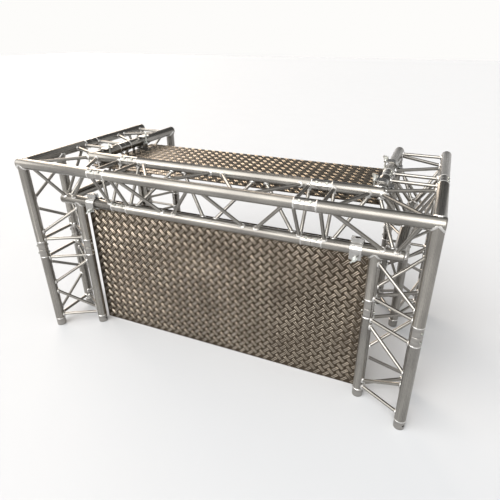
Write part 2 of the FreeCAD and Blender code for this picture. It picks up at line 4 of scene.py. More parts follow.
import bmesh
import bpy
import numpy as np
from bpy.props import FloatProperty, FloatVectorProperty, IntProperty, PointerProperty
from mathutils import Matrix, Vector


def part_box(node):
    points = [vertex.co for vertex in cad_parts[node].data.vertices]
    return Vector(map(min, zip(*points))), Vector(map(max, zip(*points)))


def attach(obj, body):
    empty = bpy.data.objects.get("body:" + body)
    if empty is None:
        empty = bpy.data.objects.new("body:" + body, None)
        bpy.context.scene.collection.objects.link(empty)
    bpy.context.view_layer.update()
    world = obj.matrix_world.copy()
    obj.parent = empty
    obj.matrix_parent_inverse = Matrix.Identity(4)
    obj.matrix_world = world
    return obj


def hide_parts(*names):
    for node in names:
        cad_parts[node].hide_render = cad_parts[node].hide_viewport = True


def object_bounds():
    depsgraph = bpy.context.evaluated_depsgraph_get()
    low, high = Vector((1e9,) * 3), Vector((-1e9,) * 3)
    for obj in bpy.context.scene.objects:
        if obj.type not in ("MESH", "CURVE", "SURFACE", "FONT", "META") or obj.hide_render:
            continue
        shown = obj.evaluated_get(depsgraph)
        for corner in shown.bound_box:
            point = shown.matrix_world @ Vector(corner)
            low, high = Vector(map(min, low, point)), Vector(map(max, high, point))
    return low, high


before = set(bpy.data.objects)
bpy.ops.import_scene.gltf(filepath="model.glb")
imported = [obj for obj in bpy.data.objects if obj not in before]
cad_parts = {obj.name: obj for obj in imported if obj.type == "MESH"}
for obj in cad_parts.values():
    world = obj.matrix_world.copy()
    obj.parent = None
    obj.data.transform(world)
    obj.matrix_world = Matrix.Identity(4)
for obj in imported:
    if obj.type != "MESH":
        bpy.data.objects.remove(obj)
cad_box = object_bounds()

bl_info = {
    "name": "Truss booth",
    "version": (1, 0, 0),
    "blender": (4, 5, 0),
    "location": "View3D > Sidebar > Booth",
    "description": "Tubes, braces, welds, pins, tread plates, clamps and a stage for the truss booth",
    "category": "Add Mesh",
}

ROOT = "booth_frame"
GRAIN = "grain"
OBJECT = "Object"
SAME_PLACE = 0.001
NEARLY_PARALLEL = 0.001
MERGE_DISTANCE = 0.000002
SHARP_ANGLE = math.radians(40)
AXES = np.eye(3)
BOX_LOW, BOX_HIGH = (np.array(corner) for corner in cad_box)
MODULES = sorted(name[:-len("_chords")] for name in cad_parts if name.endswith("_chords"))


# Properties

FULL_TONE = 255
# the sRGB curve: the end and the slope of its straight stretch, and the offset and the power of the rest
STRAIGHT_SHARE, STRAIGHT_SLOPE = 0.04045, 12.92
OFFSET_SHARE, CURVE_POWER = 0.055, 2.4


def linear(code):
    """Linear colour of an sRGB hex code."""
    tone = np.frombuffer(bytes.fromhex(code), np.uint8) / FULL_TONE
    curved = ((tone + OFFSET_SHARE) / (1 + OFFSET_SHARE)) ** CURVE_POWER
    return tuple(np.where(tone <= STRAIGHT_SHARE, tone / STRAIGHT_SLOPE, curved))


def colour(label, code):
    """A colour property with an sRGB hex code as its default."""
    words = "Colour of the %s" % label.lower()
    return FloatVectorProperty(name=label, description=words, subtype="COLOR", size=3, default=linear(code))


def length(label, metres):
    """A length property in metres."""
    words = "%s in metres" % label
    return FloatProperty(name=label, description=words, default=metres, unit="LENGTH", precision=5)


def angle(label, degrees):
    """An angle property."""
    return FloatProperty(name=label, description=label, subtype="ANGLE", default=math.radians(degrees))


def share(label, value):
    """A property that is a share of another size."""
    return FloatProperty(name=label, description=label, subtype="FACTOR", default=value)


def count(label, value):
    """A property that counts the steps of a surface."""
    return IntProperty(name=label, description=label, default=value)


class BoothTubes(bpy.types.PropertyGroup):
    """Chord tubes and their receiver ends"""
    radius: length("Tube radius", 0.0248)
    bore: length("Bore radius", 0.023)
    receiver_radius: length("Receiver radius", 0.0249)
    receiver_length: length("Receiver length", 0.042)
    ring_radius: length("Weld ring radius", 0.0268)
    ring_width: length("Weld ring width", 0.006)
    ring_steps: count("Steps across a weld ring", 6)
    chamfer: length("Mouth chamfer", 0.001)
    steps: count("Steps round a tube", 40)


class BoothBraces(bpy.types.PropertyGroup):
    """Round braces and the weld beads at their ends"""
    radius: length("Brace radius", 0.008)
    sink: length("Depth of the ends in the tubes", 0.004)
    steps: count("Steps round a brace", 20)
    bead_leg: length("Leg of a brace's bead", 0.006)
    tube_bead_leg: length("Leg of a tube's bead", 0.006)
    crown_share: share("Height of a bead's crown as a share of its leg", 0.6)
    bead_steps: count("Steps along a brace's bead", 12)
    tube_bead_steps: count("Steps along a tube's bead", 40)


class BoothPins(bpy.types.PropertyGroup):
    """Tapered pins that lock the couplers in the joints, and painted shade discs for the open pin holes of
    the feet
    """
    offset: length("Distance from the joint", 0.022)
    large_radius: length("Large end radius", 0.0062)
    small_radius: length("Small end radius", 0.005)
    half_length: length("Half length", 0.0288)
    chamfer: length("Chamfer", 0.0012)
    hole_radius: length("Pin hole radius", 0.0055)
    hole_lift: length("Lift of a hole's disc", 0.00005)
    steps: count("Steps round a pin", 16)


class BoothTread(bpy.types.PropertyGroup):
    """Lugs of the tread plates"""
    pitch: length("Pitch", 0.046)
    lug_length: length("Lug length", 0.038)
    lug_width: length("Lug width", 0.0046)
    lug_height: length("Lug height", 0.0015)
    lug_gap: length("Distance between the two lugs of a pair", 0.0085)
    sink: length("Depth of the lugs' rims in the sheet", 0.0002)
    margin: length("Least distance of a lug's middle from the edge", 0.004)
    clamp_margin: length("Plain margin round clamps", 0.012)


class BoothColours(bpy.types.PropertyGroup):
    """Tones of the metals, dull and bright, and of the stage"""
    tube_dull: colour("Tube, dull", "7D7A76")
    tube_bright: colour("Tube, bright", "9A9791")
    turned_dull: colour("Turned end, dull", "8F8C88")
    turned_bright: colour("Turned end, bright", "A8A5A0")
    # welds: pale like real welds, and paler still as a painted highlight
    weld_dull: colour("Weld, dull", "BCBAB7")
    weld_bright: colour("Weld, bright", "D8D7D5")
    sheet_dull: colour("Tread sheet, dull", "433B32")
    sheet_bright: colour("Tread sheet, bright", "52493E")
    # panel lugs: brighter than the tread sheet, a painted highlight
    lug_dull: colour("Panel lug, dull", "958B7F")
    lug_bright: colour("Panel lug, bright", "B8AD9E")
    # counter lugs: brighter than the sheet, a painted highlight, and darker than the panel's lugs, painted
    # shade
    counter_lug_dull: colour("Counter lug, dull", "8A7F70")
    counter_lug_bright: colour("Counter lug, bright", "AA9E8C")
    clamp_dull: colour("Clamp, dull", "9D9B98")
    clamp_bright: colour("Clamp, bright", "B5B4B2")
    zinc_dull: colour("Zinc, dull", "8B8D88")
    zinc_bright: colour("Zinc, bright", "A7A8A1")
    # pin holes: nearly black discs, painted shade for the hollows of the holes
    hole_shade_dull: colour("Hole, dull", "1C1B1A")
    hole_shade_bright: colour("Hole, bright", "34322F")
    floor: colour("Floor", "C0C2C5")
    horizon: colour("Horizon", "FDFCFA")
    zenith: colour("Zenith", "747474")
    key_light: colour("Key light", "FFFDFA")
    back_light: colour("Back light", "FFEFDE")


class BoothStage(bpy.types.PropertyGroup):
    """Floor, sky and camera"""
    floor_half: length("Half the floor's side", 30.0)
    floor_drop: length("Depth of the floor's top", 0.0005)
    floor_steps: count("Steps along the floor", 13)
    horizon_share: share("Height at which the sky starts to darken, as a share of straight up", 0.06)
    zenith_share: share("Height at which the sky is darkest, as a share of straight up", 0.26)
    front_share: share("Place at which the sky starts to darken, as a share of straight back", 0.0)
    back_share: share("Place at which the sky is darkest, as a share of straight back", 0.6)
    eye: FloatVectorProperty(name="Eye", description="Place of the camera in metres", subtype="XYZ", size=3,
                             unit="LENGTH", default=(0.927, -1.947, 1.560))
    pitch: angle("Angle of the camera below the horizon", 26.26)
    yaw: angle("Turn of the camera to the left", 22.59)
    lens: FloatProperty(name="Lens", description="Focal length in millimetres", default=30.79)
    sensor: FloatProperty(name="Sensor", description="Sensor width in millimetres", default=36.0)
    shift_share: FloatVectorProperty(name="Shift", description="Shift of the lens as shares of the picture",
                                     size=2, default=(-0.0216, -0.0128))


# Materials

# socket numbers of the mix node when it mixes colours
MIX_FACTOR, MIX_FIRST, MIX_SECOND, MIX_RESULT = 0, 6, 7, 2
# noise crowds about a half, so this stretch of it is spread over the whole range
NOISE_SHARES = {"From Min": 0.3, "From Max": 0.7}
PATCH_DETAIL, STREAK_DETAIL = 3.0, 2.0
EDGE_SAMPLES = 4
MM = 0.001

# patch and streak: sizes of the marks along the three coordinates; smooth and rough: the two ends of the
# roughness; relief: height of the streaks; edge: radius of the eased edges; every size is in millimetres
Look = collections.namedtuple("Look", "patch streak smooth rough relief edge coordinates")


def add(tree, kind, settings=None, links=None):
    """Adds a node, sets its properties or inputs, and feeds its inputs from other nodes' outputs."""
    node = tree.nodes.new(kind)
    for key, value in (settings or {}).items():
        if isinstance(key, str) and hasattr(node, key):
            setattr(node, key, value)
        else:
            node.inputs[key].default_value = value
    for key, output in (links or {}).items():
        tree.links.new(output, node.inputs[key])
    return node


def metal(name, dull, bright, look):
    """A bare metal: patches between two tones, streaks in gloss and relief, and eased edges."""
    made = bpy.data.materials.new(name)
    made.use_nodes = True
    tree = made.node_tree
    tree.nodes.clear()
    if look.coordinates == GRAIN:
        place = add(tree, "ShaderNodeAttribute", {"attribute_name": GRAIN}).outputs["Vector"]
    else:
        place = add(tree, "ShaderNodeTexCoord").outputs[look.coordinates]
    marks = []
    for sizes, detail in ((look.patch, PATCH_DETAIL), (look.streak, STREAK_DETAIL)):
        scale = [1 / (size * MM) for size in sizes]
        scaled = add(tree, "ShaderNodeMapping", {"Scale": scale}, {"Vector": place}).outputs["Vector"]
        noise = add(tree, "ShaderNodeTexNoise", {"Scale": 1.0, "Detail": detail}, {"Vector": scaled})
        marks.append(noise.outputs["Fac"])
    patches, streaks = marks
    factor = add(tree, "ShaderNodeMapRange", NOISE_SHARES, {"Value": patches}).outputs["Result"]
    tones = {"data_type": "RGBA", MIX_FIRST: (*dull, 1.0), MIX_SECOND: (*bright, 1.0)}
    tone = add(tree, "ShaderNodeMix", tones, {MIX_FACTOR: factor}).outputs[MIX_RESULT]
    ends = {"To Min": look.smooth, "To Max": look.rough}
    gloss = add(tree, "ShaderNodeMapRange", {**NOISE_SHARES, **ends}, {"Value": streaks}).outputs["Result"]
    edge = {"samples": EDGE_SAMPLES, "Radius": look.edge * MM}
    eased = add(tree, "ShaderNodeBevel", edge).outputs["Normal"]
    relief = add(tree, "ShaderNodeBump", {"Strength": 1.0, "Distance": look.relief * MM},
                 {"Height": streaks, "Normal": eased}).outputs["Normal"]
    shader = add(tree, "ShaderNodeBsdfPrincipled", {"Metallic": 1.0},
                 {"Base Color": tone, "Roughness": gloss, "Normal": relief})
    add(tree, "ShaderNodeOutputMaterial", {}, {"Surface": shader.outputs["BSDF"]})
    return made


def drawn_aluminium(colours):
    """Drawn tube: faint lines along it, coarser than real, and hand-sized dull patches."""
    look = Look(patch=(50, 50, 250), streak=(3, 3, 200), smooth=0.22, rough=0.36,
                relief=0.03, edge=0.8, coordinates=GRAIN)
    return metal("drawn_aluminium", colours.tube_dull, colours.tube_bright, look)


def turned_aluminium(colours):
    """Turned receiver ends: brighter than the tube, with rings of tool marks, coarser than real."""
    look = Look(patch=(60, 60, 20), streak=(80, 80, 2), smooth=0.1, rough=0.2,
                relief=0.04, edge=0.8, coordinates=GRAIN)
    return metal("turned_aluminium", colours.turned_dull, colours.turned_bright, look)


def weld_aluminium(colours):
    """Weld beads: pale, and paler still as a painted highlight, with a fine lumpy surface that breaks the
    highlight.
    """
    look = Look(patch=(20, 20, 20), streak=(3, 3, 3), smooth=0.22, rough=0.38,
                relief=0.3, edge=0.4, coordinates=GRAIN)
    return metal("weld_aluminium", colours.weld_dull, colours.weld_bright, look)


def rolled_aluminium(colours):
    """Tread sheet between the lugs: dark, with broad scuffs and rolling lines, coarser than real."""
    look = Look(patch=(400, 250, 250), streak=(150, 4, 4), smooth=0.28, rough=0.42,
                relief=0.05, edge=0.8, coordinates=OBJECT)
    return metal("rolled_aluminium", colours.sheet_dull, colours.sheet_bright, look)


LUG_LOOK = Look(patch=(120, 120, 120), streak=(4, 4, 4), smooth=0.16, rough=0.3,
                relief=0.05, edge=0.3, coordinates=OBJECT)


def worn_aluminium(colours):
    """The panel's lugs: coloured brighter than the sheet as a painted highlight, more in some places than in
    others.
    """
    return metal("worn_aluminium", colours.lug_dull, colours.lug_bright, LUG_LOOK)


def rubbed_aluminium(colours):
    """The counter's lugs: brighter than the sheet, a painted highlight; darker than the panel's, painted
    shade.
    """
    return metal("rubbed_aluminium", colours.counter_lug_dull, colours.counter_lug_bright, LUG_LOOK)


def polished_aluminium(colours):
    """Half couplers: polished, with small soft marks and bright eased edges."""
    look = Look(patch=(20, 20, 20), streak=(4, 4, 4), smooth=0.12, rough=0.24,
                relief=0.05, edge=1.2, coordinates=OBJECT)
    return metal("polished_aluminium", colours.clamp_dull, colours.clamp_bright, look)


def zinc_steel(colours):
    """Zinc-plated bolts, nuts and pins: a faint cloudy tint and a satin gloss."""
    look = Look(patch=(10, 10, 10), streak=(2, 2, 2), smooth=0.24, rough=0.36,
                relief=0.04, edge=0.6, coordinates=OBJECT)
    return metal("zinc_steel", colours.zinc_dull, colours.zinc_bright, look)


def dark_bore(colours):
    """Painted shade for an open pin hole: nearly black, a little lighter in random patches."""
    look = Look(patch=(4, 4, 4), streak=(2, 2, 2), smooth=0.6, rough=0.8,
                relief=0.05, edge=0.4, coordinates=OBJECT)
    return metal("dark_bore", colours.hole_shade_dull, colours.hole_shade_bright, look)


def floor_paint(colours):
    """Pale floor paint with a faint unevenness in its sheen."""
    made = bpy.data.materials.new("floor_paint")
    made.use_nodes = True
    tree = made.node_tree
    shader = tree.nodes["Principled BSDF"]
    cloud, smooth, rough = 400, 0.75, 0.85
    place = add(tree, "ShaderNodeTexCoord").outputs[OBJECT]
    marks = {"Scale": 1 / (cloud * MM), "Detail": STREAK_DETAIL}
    clouds = add(tree, "ShaderNodeTexNoise", marks, {"Vector": place}).outputs["Fac"]
    ends = {"To Min": smooth, "To Max": rough}
    gloss = add(tree, "ShaderNodeMapRange", {**NOISE_SHARES, **ends}, {"Value": clouds}).outputs["Result"]
    tree.links.new(gloss, shader.inputs["Roughness"])
    shader.inputs["Base Color"].default_value = (*colours.floor, 1.0)
    return made


# Meshes

# points and faces of a surface, with each point's grain coordinates and each face's material number
Part = collections.namedtuple("Part", "points faces grain kinds")


def quads(rows, columns, close_rows=False, close_columns=False):
    """The quads of a grid of points numbered row by row. A closed grid joins its last line to its first."""
    row, column = np.meshgrid(np.arange(rows if close_rows else rows - 1),
                              np.arange(columns if close_columns else columns - 1), indexing="ij")
    below, beside = (row + 1) % rows, (column + 1) % columns
    near = row * columns + column, row * columns + beside
    far = below * columns + beside, below * columns + column
    return np.stack(near + far, -1).reshape(-1, 4)


def sides(direction):
    """Two unit vectors square to a direction and to each other, right-handed with it."""
    helper = AXES[np.argmin(np.abs(direction))]
    first = np.cross(helper, direction)
    first = first / np.linalg.norm(first)
    return first, np.cross(direction, first)


def circle(steps):
    """Equal steps of a full turn."""
    return np.arange(steps) * 2 * np.pi / steps


def plain(points, faces):
    """A part of one material, whose grain coordinates are its places."""
    return Part(points, faces, points, np.zeros(len(faces), int))


def turned(profile, start, direction, steps, kinds, closed):
    """A surface of revolution: a point is start + s * direction + r * (cos a * first + sin a * second).

    profile lists r and s, and kinds the material number of each strip. A closed profile returns to its
    first point.
    """
    profile = np.asarray(profile)
    first, second = sides(direction)
    turn = circle(steps)
    around = np.cos(turn)[:, None] * first + np.sin(turn)[:, None] * second
    points = start + profile[:, None, 1:] * direction + profile[:, None, :1] * around
    radius, run = profile[:, None, 0], profile[:, None, 1]
    grain = np.stack(np.broadcast_arrays(radius * np.cos(turn), radius * np.sin(turn), run), -1)
    faces = quads(len(profile), steps, closed, True)
    return Part(points.reshape(-1, 3), faces, grain.reshape(-1, 3), np.repeat(kinds, steps))


def joined(parts):
    """Several parts as one."""
    offsets = np.cumsum([0] + [len(part.points) for part in parts[:-1]])
    faces = np.concatenate([part.faces + offset for part, offset in zip(parts, offsets)])
    points, grain, kinds = (np.concatenate([getattr(part, field) for part in parts])
                            for field in ("points", "grain", "kinds"))
    return Part(points, faces, grain, kinds)


def close_poles(mesh):
    """Merges the points that share a place, which closes the poles of turned surfaces."""
    work = bmesh.new()
    work.from_mesh(mesh)
    bmesh.ops.remove_doubles(work, verts=work.verts, dist=MERGE_DISTANCE)
    work.to_mesh(mesh)
    work.free()


def piece(name, parts, materials, nodes=()):
    """An object of the given parts that rides on the frame and stands for CAD nodes."""
    part = joined(parts)
    mesh = bpy.data.meshes.new(name)
    mesh.from_pydata(part.points.tolist(), [], part.faces.tolist())
    mesh.polygons.foreach_set("material_index", part.kinds.astype(np.int32))
    mesh.polygons.foreach_set("use_smooth", np.ones(len(part.faces), bool))
    grain = mesh.attributes.new(GRAIN, "FLOAT_VECTOR", "POINT")
    grain.data.foreach_set("vector", part.grain.astype(np.float32).ravel())
    for material in materials:
        mesh.materials.append(material)
    close_poles(mesh)
    mesh.set_sharp_from_angle(angle=SHARP_ANGLE)
    mesh.update()
    made = bpy.data.objects.new(name, mesh)
    bpy.context.scene.collection.objects.link(made)
    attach(made, ROOT)
    if nodes:
        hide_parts(*nodes)


def dress(names, material):
    """Gives CAD nodes a material."""
    for name in names:
        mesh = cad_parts[name].data
        mesh.materials.clear()
        mesh.materials.append(material)


# What the CAD nodes hold

Tube = collections.namedtuple("Tube", "axis low high")
Bar = collections.namedtuple("Bar", "point direction start end")
PLACE_DIGITS = 6
FLANK_SHARE = 0.5


def solids(node):
    """The corners of the triangles of each separate solid of a CAD node.

    Every point starts with its own number, and each triangle's points take the lowest number among them
    until nothing changes. Points with one number then belong to one solid.
    """
    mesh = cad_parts[node].data
    mesh.calc_loop_triangles()
    points = np.empty(len(mesh.vertices) * 3)
    mesh.vertices.foreach_get("co", points)
    corners = np.empty(len(mesh.loop_triangles) * 3, np.int32)
    mesh.loop_triangles.foreach_get("vertices", corners)
    places, same = np.unique(points.reshape(-1, 3).round(PLACE_DIGITS), axis=0, return_inverse=True)
    triangles = same.ravel()[corners].reshape(-1, 3)
    label, last = np.arange(len(places)), None
    while last is None or not np.array_equal(label, last):
        last = label.copy()
        np.minimum.at(label, triangles.ravel(), np.repeat(last[triangles].min(1), 3))
        label = label[label]
    return [places[triangles[label[triangles[:, 0]] == value]] for value in np.unique(label)]


def tubes(module):
    """The straight chord tubes of a module: axis number, and the axis line's lowest and highest point."""
    found = []
    for corners in solids(module + "_chords"):
        points = corners.reshape(-1, 3)
        low, high = points.min(0), points.max(0)
        axis = int(np.argmax(high - low))
        along = AXES[axis]
        middle = (low + high) / 2 * (1 - along)
        found.append(Tube(axis, middle + low * along, middle + high * along))
    return found


def every_tube():
    """All chord tubes, module by module."""
    return {module: tubes(module) for module in MODULES}


def bars(module):
    """The braces of a module: a point on the axis, its direction, and the bar's start and end along it.

    The long triangles are a bar's flanks. The direction is the one most nearly square to all their normals,
    and the point is the centre of the circle that fits their corners seen along it.
    """
    found = []
    for corners in solids(module + "_braces"):
        normals = np.cross(corners[:, 1] - corners[:, 0], corners[:, 2] - corners[:, 0])
        longest = np.linalg.norm(corners - np.roll(corners, 1, axis=1), axis=2).max(1)
        flank = longest > longest.max() * FLANK_SHARE
        direction = np.linalg.eigh(normals[flank].T @ normals[flank])[1][:, 0]
        first, second = sides(direction)
        points = corners[flank].reshape(-1, 3)
        across = np.stack((points @ first, points @ second), 1)
        terms = np.column_stack((2 * across, np.ones(len(across))))
        centre = np.linalg.lstsq(terms, (across ** 2).sum(1), rcond=None)[0]
        along = points @ direction
        found.append(Bar(centre[0] * first + centre[1] * second, direction, along.min(), along.max()))
    return found


def meeting(bar, tube):
    """How far apart the axis lines of a bar and a tube pass, and where along the bar that is."""
    along = AXES[tube.axis]
    apart = np.cross(bar.direction, along)
    size = np.linalg.norm(apart)
    if size < NEARLY_PARALLEL:
        return np.inf, 0.0
    gap = tube.low - bar.point
    place = np.cross(gap, along) @ apart / size ** 2
    reach = (bar.point + place * bar.direction) @ along
    inside = tube.low @ along - SAME_PLACE < reach < tube.high @ along + SAME_PLACE
    return (abs(gap @ apart) / size if inside else np.inf), place


def ends_of(bar, group):
    """The tubes that a bar's two ends are welded to, with where its axis meets theirs."""
    met = [(place, tube) for tube in group for gap, place in (meeting(bar, tube),) if gap < SAME_PLACE]
    first = min(met, key=lambda pair: abs(pair[0] - bar.start))
    last = min(met, key=lambda pair: abs(pair[0] - bar.end))
    return first, last


def mate_count(point, axis, runs):
    """How many tubes on the same axis end at a point."""
    same = [tube for group in runs.values() for tube in group if tube.axis == axis]
    ends = [end for tube in same for end in (tube.low, tube.high)]
    return int((np.linalg.norm(np.array(ends) - point, axis=1) < SAME_PLACE).sum())


def is_foot(point):
    """Whether a tube's end stands on the floor."""
    return point[2] < SAME_PLACE


# Tubes with their receivers

TUBE, TURNED, WELD = 0, 1, 2


def end_rows(receiver, sizes):
    """The profile from a tube's end inwards, and the material of each strip.

    A receiver has a chamfer, a turned length and a weld ring, which swells as the square of a sine across
    its width.
    """
    if not receiver:
        return [(sizes.radius, 0.0)], []
    step = np.linspace(0, 1, sizes.ring_steps)
    swell = sizes.radius + (sizes.ring_radius - sizes.radius) * np.sin(np.pi * step) ** 2
    rows = [(sizes.receiver_radius - sizes.chamfer, 0.0), (sizes.receiver_radius, sizes.chamfer),
            (sizes.receiver_radius, sizes.receiver_length)]
    rows += list(zip(swell, sizes.receiver_length + sizes.ring_width * step))
    return rows, [TURNED, TURNED] + [WELD] * len(step)


def tube_part(tube, runs, sizes):
    """One tube turned about its axis, kept in the CAD box: outer wall with the receivers, and bore."""
    along = AXES[tube.axis]
    run = (tube.high - tube.low) @ along
    ends = []
    for end in (tube.low, tube.high):
        receiver = is_foot(end) or mate_count(end, tube.axis, runs) > 1
        ends.append(end_rows(receiver, sizes))
    (low_rows, low_kinds), (high_rows, high_kinds) = ends
    outer = low_rows + [(radius, run - place) for radius, place in reversed(high_rows)]
    profile = outer + [(sizes.bore, run), (sizes.bore, 0.0)]
    kinds = low_kinds + [TUBE] + list(reversed(high_kinds)) + [TURNED, TUBE, TURNED]
    made = turned(profile, tube.low, along, sizes.steps, kinds, True)
    return made._replace(points=np.clip(made.points, BOX_LOW, BOX_HIGH))


class BOOTH_OT_tubes(bpy.types.Operator):
    """Chord tubes with turned receivers and weld rings at their joints"""
    bl_idname = "booth.tubes"
    bl_label = "Tubes"

    def execute(self, context):
        scene = context.scene
        finishes = drawn_aluminium, turned_aluminium, weld_aluminium
        materials = [finish(scene.booth_colours) for finish in finishes]
        runs = every_tube()
        for module, group in runs.items():
            parts = [tube_part(tube, runs, scene.booth_tubes) for tube in group]
            piece(module + "_tubes", parts, materials, [module + "_chords"])
        dress(["tube_caps"], materials[TUBE])
        dress(["conical_couplers"], materials[TURNED])
        return {"FINISHED"}


# Braces and welds

def unit(vectors):
    """Vectors brought to a length of one, apart from those too short to have a direction."""
    return vectors / np.maximum(np.linalg.norm(vectors, axis=1), SAME_PLACE)[:, None]


def crossing(bar, radius, tube, tube_radius, rising, steps):
    """The closed curve where a bar's flank meets a tube's, with the outward normals of both there.

    A flank line p + s * direction is followed to the two s at which it is tube_radius from the tube's axis,
    and the one on the bar's own side is kept.
    """
    along = AXES[tube.axis]
    square = np.eye(3) - np.outer(along, along)
    first, second = sides(bar.direction)
    turn = circle(steps)
    outward = np.cos(turn)[:, None] * first + np.sin(turn)[:, None] * second
    flank = bar.point + radius * outward
    offset, slope = (flank - tube.low) @ square, bar.direction @ square
    lead, half = slope @ slope, offset @ slope
    rest = (offset ** 2).sum(1) - tube_radius ** 2
    root = np.sqrt(np.maximum(half ** 2 - lead * rest, 0))
    place = (-half + (root if rising else -root)) / lead
    curve = flank + place[:, None] * bar.direction
    normal = (curve - tube.low) @ square
    return curve, outward, unit(normal)


def bead(curve, outward, normal, up, leg, crown_share):
    """A fillet weld: a closed profile with a raised crown, carried along the curve where a bar meets a tube.

    The profile runs from the bar's flank, a leg above the curve, over the crown to the tube's flank, a leg
    beside the curve, and back to the curve itself.
    """
    flat = unit(outward - (outward * normal).sum(1)[:, None] * normal)
    crown = unit(normal + outward)
    height = crown_share * leg
    rows = [curve + leg * up, curve + height * (crown + up), curve + height * (crown + flat),
            curve + leg * flat, curve]
    points = np.clip(np.stack(rows), BOX_LOW, BOX_HIGH).reshape(-1, 3)
    return plain(points, quads(len(rows), len(curve), True, True))


def end_bead(bar, radius, tube, tube_radius, rising, leg, steps, crown_share):
    """The bead at one end of a bar. A rising bar leaves the tube along its own direction."""
    curve, outward, normal = crossing(bar, radius, tube, tube_radius, rising, steps)
    made = bead(curve, outward, normal, bar.direction if rising else -bar.direction, leg, crown_share)
    return made._replace(faces=made.faces[:, ::-1]) if rising else made


def tube_beads(group, radius, sizes):
    """Beads where one tube's end stands on another tube's flank."""
    made = []
    shape = sizes.tube_bead_leg, sizes.tube_bead_steps, sizes.crown_share
    for tube in group:
        along = AXES[tube.axis]
        bar = Bar(tube.low * (1 - along), along, tube.low @ along, tube.high @ along)
        for other in group:
            gap, place = meeting(bar, other)
            for end, rising in ((bar.start, True), (bar.end, False)):
                if gap < SAME_PLACE and abs(place - end) < radius:
                    made.append(end_bead(bar, radius, other, radius, rising, *shape))
    return made


class BOOTH_OT_braces(bpy.types.Operator):
    """Round braces between the tubes"""
    bl_idname = "booth.braces"
    bl_label = "Braces"

    def execute(self, context):
        scene = context.scene
        sizes = scene.booth_braces
        reach = scene.booth_tubes.radius - sizes.sink
        material = bpy.data.materials["drawn_aluminium"]
        for module, group in every_tube().items():
            parts = []
            for bar in bars(module):
                start, end = (place for place, tube in ends_of(bar, group))
                low, high = start + reach, end - reach
                profile = [(0.0, low), (sizes.radius, low), (sizes.radius, high), (0.0, high)]
                kinds = [TUBE] * (len(profile) - 1)
                parts.append(turned(profile, bar.point, bar.direction, sizes.steps, kinds, False))
            piece(module + "_bars", parts, [material], [module + "_braces"])
        return {"FINISHED"}


class BOOTH_OT_welds(bpy.types.Operator):
    """Fillet welds at the ends of the braces and where tubes meet"""
    bl_idname = "booth.welds"
    bl_label = "Welds"

    def execute(self, context):
        scene = context.scene
        sizes = scene.booth_braces
        radius = scene.booth_tubes.radius
        shape = sizes.bead_leg, sizes.bead_steps, sizes.crown_share
        material = bpy.data.materials["weld_aluminium"]
        for module, group in every_tube().items():
            parts = tube_beads(group, radius, sizes)
            for bar in bars(module):
                first, last = (tube for place, tube in ends_of(bar, group))
                parts.append(end_bead(bar, sizes.radius, first, radius, True, *shape))
                parts.append(end_bead(bar, sizes.radius, last, radius, False, *shape))
            piece(module + "_welds", parts, [material])
        return {"FINISHED"}


# Pins

DISC_SHARES = np.array((1.0, 0.6, 0.0))


def pin_way(tube, sizes):
    """The way of a tube's pins: level across an upright tube inside the booth, else at 45 degrees.

    Such a slanted pin points outward, forward or up, and its ends stay in the CAD box.
    """
    along = AXES[tube.axis]
    if along[2] and BOX_HIGH[0] - abs(tube.low[0]) > sizes.half_length:
        return AXES[0] * np.sign(tube.low[0])
    slant = np.array((np.sign(tube.low[0]), -1.0, 1.0)) * (1 - along)
    return slant / np.linalg.norm(slant)


def pin_part(middle, direction, sizes):
    """A tapered pin with chamfered ends, turned about its axis."""
    half, ease = sizes.half_length, sizes.chamfer
    profile = [(0.0, -half), (sizes.small_radius - ease, -half), (sizes.small_radius, ease - half),
               (sizes.large_radius, half - ease), (sizes.large_radius - ease, half), (0.0, half)]
    return turned(profile, middle, direction, sizes.steps, [0] * (len(profile) - 1), False)


def hole_shade_part(middle, out, along, reach, sizes):
    """Painted shade for the mouth of a pin hole: a dark disc of radius p and angle a, wrapped on a tube of
    the given reach.

    A point is middle + p sin a along the tube, and lies at the angle p cos a / reach round it.
    """
    turn = circle(sizes.steps)
    radius = sizes.hole_radius * DISC_SHARES[:, None]
    around, rise = radius * np.cos(turn) / reach, radius * np.sin(turn)
    wrapped = np.cos(around)[..., None] * out + np.sin(around)[..., None] * np.cross(along, out)
    points = middle + rise[..., None] * along + reach * wrapped
    return plain(points.reshape(-1, 3), quads(len(DISC_SHARES), sizes.steps, False, True))


class BOOTH_OT_pins(bpy.types.Operator):
    """Two tapered pins through each coupler, and painted shade discs for the open pin holes of the feet"""
    bl_idname = "booth.pins"
    bl_label = "Pins"

    def execute(self, context):
        scene = context.scene
        sizes = scene.booth_pins
        reach = scene.booth_tubes.receiver_radius + sizes.hole_lift
        runs = every_tube()
        pins, holes = [], []
        for tube in sum(runs.values(), []):
            along = AXES[tube.axis]
            way = pin_way(tube, sizes)
            for end, inward in ((tube.low, along), (tube.high, -along)):
                middle = end + sizes.offset * inward
                if mate_count(end, tube.axis, runs) > 1:
                    pins.append(pin_part(middle, way, sizes))
                elif is_foot(end):
                    holes += [hole_shade_part(middle, out, along, reach, sizes) for out in (way, -way)]
        piece("coupler_pins", pins, [zinc_steel(scene.booth_colours)])
        piece("pin_holes", holes, [dark_bore(scene.booth_colours)])
        return {"FINISHED"}


# Tread plates

LENGTH_SHARES = np.array((-1.0, -0.94, -0.8, 0.0, 0.8, 0.94, 1.0))
WIDTH_SHARES = np.array((-1.0, -0.5, 0.0, 0.5, 1.0))
# towards its tips a lug loses a share of its width, and all its height, as powers of the way there
TIP_SHARE, TIP_POWER, END_POWER = 1 / 3, 8, 12
LEAN = math.radians(45)


